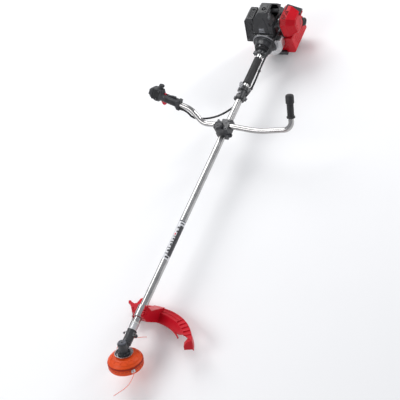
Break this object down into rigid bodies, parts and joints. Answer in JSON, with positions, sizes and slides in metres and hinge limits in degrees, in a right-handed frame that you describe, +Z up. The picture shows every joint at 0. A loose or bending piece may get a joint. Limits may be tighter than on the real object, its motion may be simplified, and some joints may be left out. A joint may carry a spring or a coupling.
{
  "type": "string trimmer",
  "caption": "Petrol string trimmer: line head on a bevel gearbox, red guard, long straight tube, handlebar with throttle handle, and two-stroke engine standing on its foot.",
  "frame": {"origin": "middle of the underside of the engine stand's foot plate, on the ground", "axes": "+X along the drive tube from the trimmer head to the engine's rear, +Y to the operator's right (throttle side), +Z up"},
  "size_m": [1.8227, 0.6593, 0.3042],
  "materials": {
    "tube_aluminium": "polished",
    "cast_aluminium": "cast",
    "bar_steel": "polished",
    "steel": "turned",
    "head_orange": "moulded",
    "guard_red": "moulded",
    "tank_red": "moulded",
    "trigger_red": "moulded",
    "black_plastic": "moulded",
    "black_paint": "satin",
    "rubber_black": "matt",
    "eyelet_grey": "moulded",
    "line_red": "extruded",
    "spool_white": "moulded"
  },
  "bodies": {
    "machine": {"drive_tube": "tube_aluminium", "shaft_bearings": "steel", "gearbox_housing": "black_paint", "gearbox_cap": "eyelet_grey", "gearbox_plate": "steel", "guard_shell": "guard_red", "guard_clamp": "guard_red", "line_cutter": "steel", "clamp_base": "black_paint", "clamp_cap": "black_paint", "harness_clamp": "black_paint", "harness_eyelet": "eyelet_grey", "shaft_grip": "rubber_black", "cable_clips": "black_plastic", "throttle_cable": "rubber_black", "clutch_housing": "black_paint", "vibration_damper": "rubber_black", "crankcase": "cast_aluminium", "cylinder": "cast_aluminium", "engine_shroud": "black_plastic", "muffler": "steel", "muffler_guard": "black_plastic", "spark_plug": "steel", "plug_boot": "rubber_black", "carburettor": "steel", "filter_base": "black_plastic", "filter_cover": "tank_red", "fuel_tank": "tank_red", "starter_housing": "black_plastic", "engine_stand": "black_plastic"},
    "cutting_head": {"output_spindle": "steel", "output_gear": "steel", "thrust_cup": "steel", "head_cover": "head_orange", "head_bowl": "head_orange", "line_eyelets": "steel", "line_front": "line_red", "line_rear": "line_red"},
    "drive": {"drive_shaft": "steel", "clutch_drum": "steel", "input_pinion": "steel"},
    "spool": {"line_spool": "spool_white", "bump_knob": "black_plastic"},
    "crank": {"crankshaft": "steel", "flywheel": "cast_aluminium", "clutch_shoes": "steel"},
    "piston": {"piston": "cast_aluminium"},
    "handlebar": {"handlebar_tube": "bar_steel", "left_grip": "rubber_black", "handle_front_shell": "black_plastic", "handle_rear_shell": "black_plastic"},
    "trigger": {"throttle_trigger": "trigger_red"},
    "lockout": {"lockout_lever": "black_plastic"},
    "stop": {"stop_switch": "trigger_red"},
    "lock": {"lock_button": "black_plastic"},
    "carb_lever": {"throttle_lever": "steel"},
    "fuel_cap": {"fuel_cap": "black_plastic"},
    "starter": {"starter_handle": "black_plastic"},
    "clamp_knob": {"clamp_knob": "black_plastic"}
  },
  "joints": [
    {"name": "head_spin", "type": "hinge", "parent": "machine", "child": "cutting_head", "pos_m": [-1.59, 0, 0.135], "axis": [0.4695, 0, 0.8829], "continuous": true},
    {"name": "drive_spin", "type": "hinge", "parent": "machine", "child": "drive", "pos_m": [-1.59, 0, 0.135], "axis": [1, 0, 0], "continuous": true},
    {"name": "spool_bump", "type": "slide", "parent": "cutting_head", "child": "spool", "axis": [0.4695, 0, 0.8829], "range_m": [0, 0.0035], "stiffness_N_per_m": 600, "springref_m": -0.006},
    {"name": "crank_spin", "type": "hinge", "parent": "machine", "child": "crank", "pos_m": [-1.59, 0, 0.135], "axis": [1, 0, 0], "continuous": true},
    {"name": "piston_slide", "type": "slide", "parent": "machine", "child": "piston", "axis": [0, 0, 1], "range_m": [-0.026, 0]},
    {"name": "handlebar_tilt", "type": "hinge", "parent": "machine", "child": "handlebar", "pos_m": [-0.589, 0, 0.169], "axis": [0, 1, 0], "range_deg": [-15, 25], "deforming": ["throttle_cable"]},
    {"name": "throttle_pull", "type": "hinge", "parent": "handlebar", "child": "trigger", "pos_m": [-0.53923, 0.27745, 0.24008], "axis": [-0.8192, 0, 0.5736], "range_deg": [0, 18], "stiffness_Nm_per_rad": 0.25, "springref_deg": -14.32},
    {"name": "lockout_press", "type": "hinge", "parent": "handlebar", "child": "lockout", "pos_m": [-0.53164, 0.24557, 0.25091], "axis": [0.8192, 0, -0.5736], "range_deg": [0, 9], "stiffness_Nm_per_rad": 0.2, "springref_deg": -11.46},
    {"name": "stop_slide", "type": "slide", "parent": "handlebar", "child": "stop", "axis": [0.158, 0.9613, 0.2257], "range_m": [-0.005, 0]},
    {"name": "lock_press", "type": "slide", "parent": "handlebar", "child": "lock", "axis": [-0.5514, 0.2755, -0.7875], "range_m": [0, 0.004], "stiffness_N_per_m": 300, "springref_m": -0.002},
    {"name": "carb_turn", "type": "hinge", "parent": "machine", "child": "carb_lever", "pos_m": [-0.057, -0.063, 0.1977], "axis": [0, 0, -1], "range_deg": [0, 54]},
    {"name": "fuel_cap_turn", "type": "hinge", "parent": "machine", "child": "fuel_cap", "pos_m": [0.03, -0.11, 0.113], "axis": [0, -1, 0], "range_deg": [0, 540]},
    {"name": "starter_pull", "type": "slide", "parent": "machine", "child": "starter", "axis": [0, 1, 0], "range_m": [0, 0.5], "stiffness_N_per_m": 8, "springref_m": -0.3},
    {"name": "clamp_knob_turn", "type": "hinge", "parent": "machine", "child": "clamp_knob", "pos_m": [-0.607, 0.003, 0.185], "axis": [0, 0, 1], "range_deg": [0, 720]}
  ],
  "couplings": [
    {"joint": "drive_spin", "follows": "head_spin", "ratio": -1.3571},
    {"joint": "carb_turn", "follows": "throttle_pull", "ratio": 3}
  ]
}
